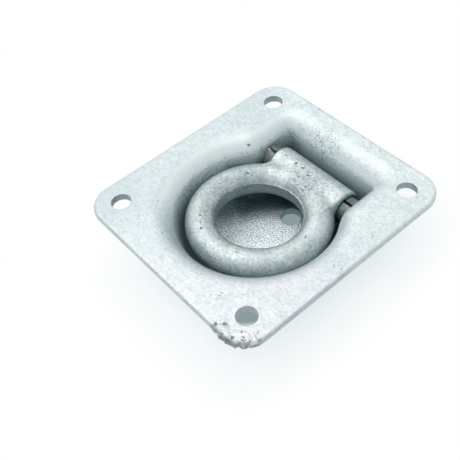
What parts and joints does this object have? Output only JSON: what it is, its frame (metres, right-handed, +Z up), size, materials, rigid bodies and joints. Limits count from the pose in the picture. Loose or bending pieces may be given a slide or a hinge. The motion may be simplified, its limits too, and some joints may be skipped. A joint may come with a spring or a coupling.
{
  "type": "folding lashing ring",
  "caption": "Recessed tie-down ring: a forged ring on a spring pin folds flat into the pressed keyhole recess of a rectangular bolt-down flange.",
  "frame": {"origin": "middle of the bolt pattern, on the underside of the flange, which seats on the deck", "axes": "+X along the hinge pin, +Y from the free end of the folded ring towards the hinge, +Z up out of the deck"},
  "size_m": [0.12, 0.13, 0.0343],
  "materials": {
    "galvanised_sheet": "hot-dip galvanised, pale matt zinc with a fine grain",
    "galvanised_forging": "hot-dip galvanised, duller and smoother than the sheet, with dark pits",
    "pin_steel": "brownish grey spring steel"
  },
  "bodies": {
    "plate": {"base_plate": "galvanised_sheet", "hinge_pin": "pin_steel"},
    "ring": {"lashing_ring": "galvanised_forging"}
  },
  "joints": [
    {"name": "ring_fold", "type": "hinge", "parent": "plate", "child": "ring", "pos_m": [0, 0.0334, -0.0131], "axis": [-1, 0, 0], "range_deg": [0, 115]}
  ]
}
